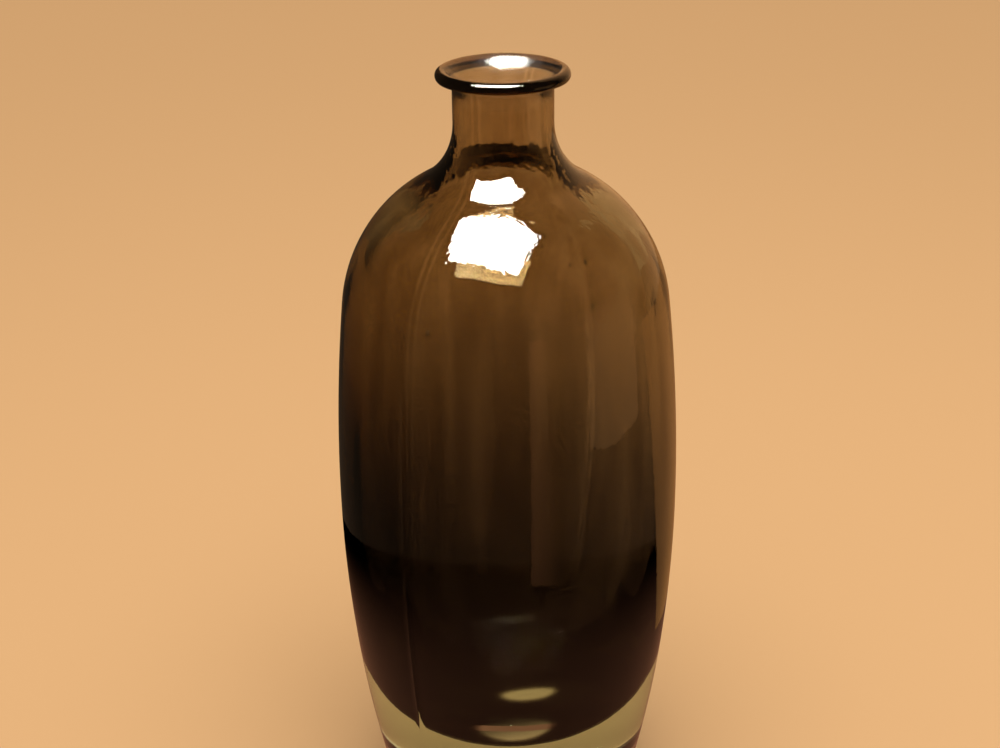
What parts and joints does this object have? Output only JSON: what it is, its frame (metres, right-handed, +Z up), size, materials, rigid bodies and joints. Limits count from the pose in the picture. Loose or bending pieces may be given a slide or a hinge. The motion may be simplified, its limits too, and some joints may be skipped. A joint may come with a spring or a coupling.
{
  "type": "bottle vase",
  "caption": "Thick-walled clear glass bottle vase with a smoke-brown lined hollow, round shoulder, short neck and rolled lip, for flower stems or branches.",
  "frame": {"origin": "centre of the plane that the vase stands on", "axes": "+Z up along the vase's axis, out of the mouth; -Y is the side that faces the viewer, with one mould seam to the left of it"},
  "size_m": [0.15, 0.15, 0.345],
  "materials": {
    "clear_glass": "fire-polished clear glass with a faint green tint",
    "smoke_glass": "glossy smoke-brown glass, darker towards the floor"
  },
  "bodies": {
    "root": {"lip_ring": "smoke_glass", "neck": "clear_glass", "body": "clear_glass", "base": "clear_glass", "smoke_lining": "smoke_glass"}
  },
  "joints": []
}
